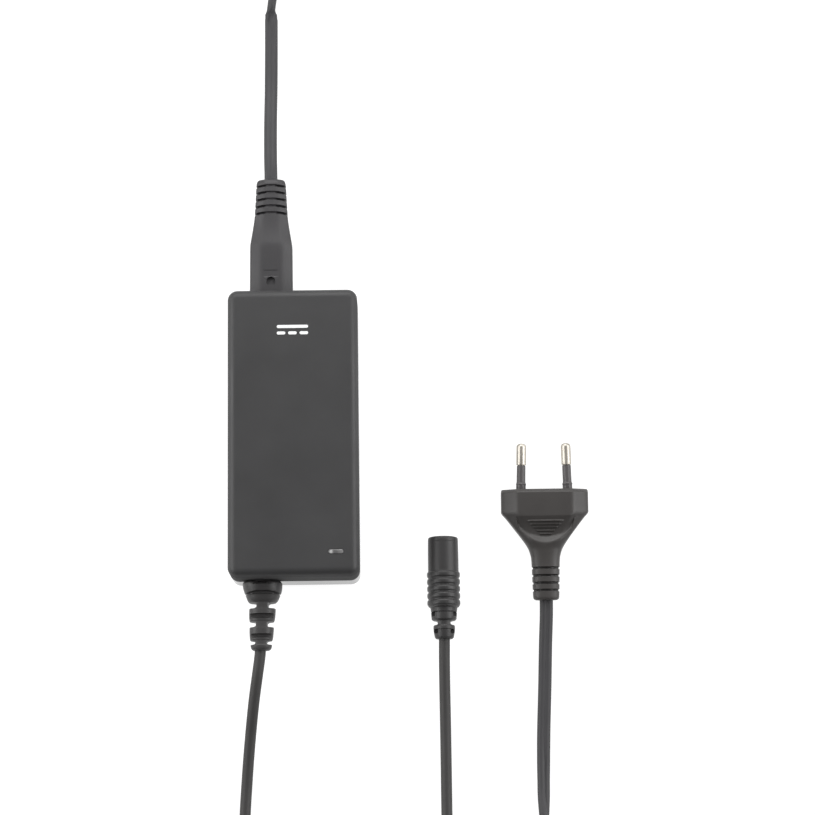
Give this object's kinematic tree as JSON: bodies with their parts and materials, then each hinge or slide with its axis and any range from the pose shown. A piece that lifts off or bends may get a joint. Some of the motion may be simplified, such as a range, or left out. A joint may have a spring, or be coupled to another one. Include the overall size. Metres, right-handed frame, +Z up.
{
  "type": "laptop power adapter",
  "caption": "Laptop power adapter: dark grey housing with a status light, detachable figure-8 mains lead with a flat two-pin plug, and a captive low-voltage lead with an in-line coaxial socket",
  "frame": {"origin": "middle of the housing's underside, on the surface it stands on", "axes": "+Y along the housing to the mains inlet, +X to the side the lead's plug and socket lie on, +Z up"},
  "size_m": [0.2465, 0.423, 0.0312],
  "materials": {
    "housing_abs": "dark grey ABS, fine spark texture",
    "light_pipe_acrylic": "clear to milky acrylic window",
    "label_film": "blank polyester label",
    "board_fr4": "green solder mask",
    "inlet_pbt": "black PBT",
    "plated_pin": "nickel-plated brass",
    "fuse_body": "brown fuse body",
    "x_cap_film": "yellow capacitor case",
    "ferrite": "sintered ferrite",
    "winding_copper": "enamelled copper wire",
    "epoxy_black": "black moulding compound",
    "can_sleeve_black": "PVC sleeve on an aluminium can",
    "can_sleeve_green": "PVC sleeve on an aluminium can",
    "y_cap_blue": "blue epoxy coating",
    "opto_white": "white moulding compound",
    "heatsink_aluminium": "plain sheet",
    "zinc_screw": "zinc plated",
    "tape_yellow": "polyester tape over the winding",
    "barrier_film": "polyester film",
    "led_green": "tinted epoxy",
    "spreader_copper": "bare copper sheet",
    "relief_pvc": "soft PVC, fine texture",
    "dc_lead_pvc": "soft PVC",
    "dc_socket_pvc": "soft PVC, fine texture",
    "socket_pbt": "black PBT",
    "mains_lead_pvc": "soft PVC",
    "connector_pvc": "soft PVC, fine texture",
    "connector_pp": "black polypropylene",
    "plug_pvc": "soft PVC, fine texture",
    "pin_sleeve_nylon": "dark grey nylon",
    "tie_nylon": "black strap"
  },
  "bodies": {
    "adapter": {"top_cover": "housing_abs", "bottom_cover": "housing_abs", "led_light_pipe": "light_pipe_acrylic", "rating_label": "label_film", "circuit_board": "board_fr4", "ac_inlet_housing": "inlet_pbt", "ac_inlet_pin_left": "plated_pin", "ac_inlet_pin_right": "plated_pin", "fuse": "fuse_body", "x_capacitor": "x_cap_film", "line_choke_core": "ferrite", "line_choke_winding": "winding_copper", "bridge_rectifier": "epoxy_black", "bulk_capacitor": "can_sleeve_black", "primary_heatsink": "heatsink_aluminium", "switching_transistor": "epoxy_black", "primary_heatsink_screw": "zinc_screw", "control_chip": "epoxy_black", "y_capacitor": "y_cap_blue", "optocoupler": "opto_white", "transformer_core": "ferrite", "transformer_winding": "tape_yellow", "insulating_barrier": "barrier_film", "secondary_heatsink": "heatsink_aluminium", "output_rectifier": "epoxy_black", "secondary_heatsink_screw": "zinc_screw", "output_capacitor_1": "can_sleeve_green", "output_capacitor_2": "can_sleeve_green", "output_choke_core": "ferrite", "output_choke_winding": "winding_copper", "indicator_led": "led_green", "heat_spreader": "spreader_copper", "dc_strain_relief": "relief_pvc", "dc_cord_run_out": "dc_lead_pvc", "dc_cord_coil": "dc_lead_pvc", "dc_cord_run_back": "dc_lead_pvc", "dc_cord_tie": "tie_nylon", "dc_socket_body": "dc_socket_pvc", "dc_socket_insulator": "socket_pbt", "dc_socket_contact": "plated_pin", "dc_socket_pin": "plated_pin"},
    "mains_lead": {"mains_connector_body": "connector_pvc", "mains_connector_insert": "connector_pp", "mains_connector_contact_left": "plated_pin", "mains_connector_contact_right": "plated_pin", "mains_cord_run_out": "mains_lead_pvc", "mains_cord_coil": "mains_lead_pvc", "mains_cord_run_back": "mains_lead_pvc", "mains_cord_tie": "tie_nylon", "mains_plug_body": "plug_pvc", "mains_plug_pin_left": "plated_pin", "mains_plug_pin_right": "plated_pin", "mains_plug_sleeve_left": "pin_sleeve_nylon", "mains_plug_sleeve_right": "pin_sleeve_nylon"}
  },
  "joints": [
    {"name": "mains_connector_pull", "type": "slide", "parent": "adapter", "child": "mains_lead", "axis": [0, 1, 0], "range_m": [0, 0.015]}
  ]
}
